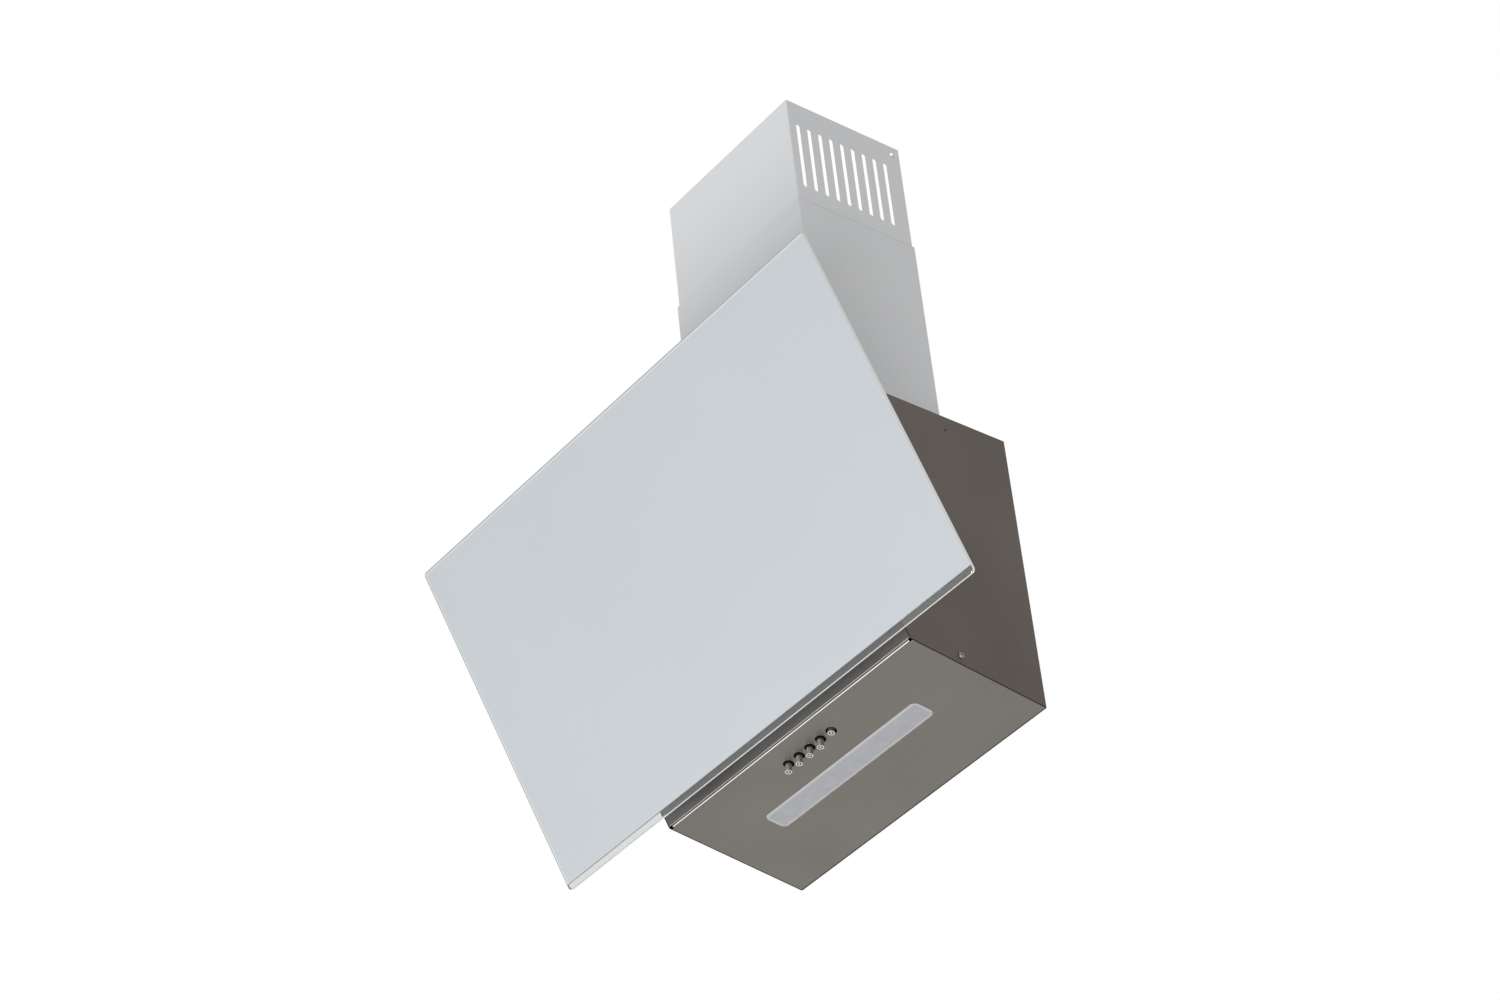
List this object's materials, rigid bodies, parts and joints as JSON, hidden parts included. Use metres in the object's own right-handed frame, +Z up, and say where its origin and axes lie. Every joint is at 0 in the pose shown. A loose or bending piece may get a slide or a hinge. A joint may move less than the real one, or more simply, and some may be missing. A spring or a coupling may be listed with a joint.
{
  "type": "inclined wall range hood",
  "caption": "Inclined wall range hood: slanted hinged glass front over a steel body with lamp strip and push-buttons, under a telescopic slotted chimney.",
  "frame": {"origin": "centre of the four wall holes, on the wall plane at the back of the body", "axes": "+X to the right seen from the front, +Y towards the wall, +Z up"},
  "size_m": [0.6, 0.3364, 0.73],
  "materials": {
    "satin_steel": "fine vertical grain, satin",
    "chimney_paint": "smooth pale coat, satin",
    "glass_front": "tempered, pale paint on the back, ground edges",
    "zinc_steel": "zinc plated",
    "filter_aluminium": "mill finish",
    "button_chrome": "bright",
    "lamp_opal": "opal diffuser",
    "black_plastic": "fine spark grain",
    "grey_plastic": "moulded",
    "board_white": "solder mask",
    "led_phosphor": "cured resin",
    "grommet_rubber": "matt",
    "motor_steel": "zinc-grey coat"
  },
  "bodies": {
    "hood_body": {"bottom_panel": "satin_steel", "cable_grommet": "grommet_rubber", "casing_rivets": "satin_steel", "casing_screws": "satin_steel", "casing_wrap": "satin_steel", "chimney_foot_left": "zinc_steel", "chimney_foot_right": "zinc_steel", "chimney_lower": "chimney_paint", "chimney_screws": "zinc_steel", "duct_collar": "black_plastic", "filter_frame": "filter_aluminium", "filter_mesh": "filter_aluminium", "filter_seat": "zinc_steel", "flap_pins": "zinc_steel", "front_panel": "satin_steel", "hinge_bracket_left": "zinc_steel", "hinge_bracket_right": "zinc_steel", "hinge_pins": "zinc_steel", "inlet_guard": "zinc_steel", "lamp_diffuser": "lamp_opal", "lamp_housing": "grey_plastic", "led_board": "board_white", "led_chips": "led_phosphor", "led_driver": "grey_plastic", "magnet_catches": "black_plastic", "motor_body": "motor_steel", "motor_bracket": "zinc_steel", "motor_screws": "zinc_steel", "outlet_adaptor": "black_plastic", "run_capacitor": "grey_plastic", "scroll_body": "grey_plastic", "scroll_cover": "grey_plastic", "switch_block": "black_plastic", "terminal_box": "black_plastic", "terminal_lid": "black_plastic", "top_plate": "zinc_steel"},
    "glass_front": {"glass_pane": "glass_front", "glass_carrier": "zinc_steel", "strike_plates": "zinc_steel", "hinge_arm_left": "zinc_steel", "hinge_arm_right": "zinc_steel"},
    "fan_rotor": {"impeller": "black_plastic", "rotor_shaft": "zinc_steel", "impeller_nut": "zinc_steel"},
    "upper_chimney": {"chimney_upper": "chimney_paint"},
    "front_flap": {"flap_front": "black_plastic"},
    "rear_flap": {"flap_rear": "black_plastic"},
    "latch": {"filter_latch": "black_plastic"},
    "button_1": {"push_button_1": "button_chrome"},
    "button_2": {"push_button_2": "button_chrome"},
    "button_3": {"push_button_3": "button_chrome"},
    "button_4": {"push_button_4": "button_chrome"},
    "button_5": {"push_button_5": "button_chrome"}
  },
  "joints": [
    {"name": "glass_hinge", "type": "hinge", "parent": "hood_body", "child": "glass_front", "pos_m": [0, -0.29609, 0.13105], "axis": [-1, 0, 0], "range_deg": [0, 70]},
    {"name": "fan_spin", "type": "hinge", "parent": "hood_body", "child": "fan_rotor", "pos_m": [-0.06, -0.07, 0], "axis": [0, 1, 0], "continuous": true},
    {"name": "chimney_slide", "type": "slide", "parent": "hood_body", "child": "upper_chimney", "axis": [0, 0, 1], "range_m": [-0.11, 0.11]},
    {"name": "front_flap_hinge", "type": "hinge", "parent": "hood_body", "child": "front_flap", "pos_m": [0, -0.0785, 0.1606], "axis": [-1, 0, 0], "range_deg": [0, 75]},
    {"name": "rear_flap_hinge", "type": "hinge", "parent": "hood_body", "child": "rear_flap", "pos_m": [0, -0.0705, 0.1606], "axis": [1, 0, 0], "range_deg": [0, 75]},
    {"name": "filter_latch_slide", "type": "slide", "parent": "hood_body", "child": "latch", "axis": [0, -0.4289, 0.9033], "range_m": [0, 0.005], "stiffness_N_per_m": 200, "springref_m": -0.002},
    {"name": "button_1_press", "type": "slide", "parent": "hood_body", "child": "button_1", "axis": [0, 0.1396, 0.9902], "range_m": [0, 0.0066], "stiffness_N_per_m": 150, "springref_m": -0.002},
    {"name": "button_2_press", "type": "slide", "parent": "hood_body", "child": "button_2", "axis": [0, 0.1396, 0.9902], "range_m": [0, 0.0066], "stiffness_N_per_m": 150, "springref_m": -0.002},
    {"name": "button_3_press", "type": "slide", "parent": "hood_body", "child": "button_3", "axis": [0, 0.1396, 0.9902], "range_m": [0, 0.0066], "stiffness_N_per_m": 150, "springref_m": -0.002},
    {"name": "button_4_press", "type": "slide", "parent": "hood_body", "child": "button_4", "axis": [0, 0.1396, 0.9902], "range_m": [0, 0.0066], "stiffness_N_per_m": 150, "springref_m": -0.002},
    {"name": "button_5_press", "type": "slide", "parent": "hood_body", "child": "button_5", "axis": [0, 0.1396, 0.9902], "range_m": [-0.0066, 0]}
  ]
}
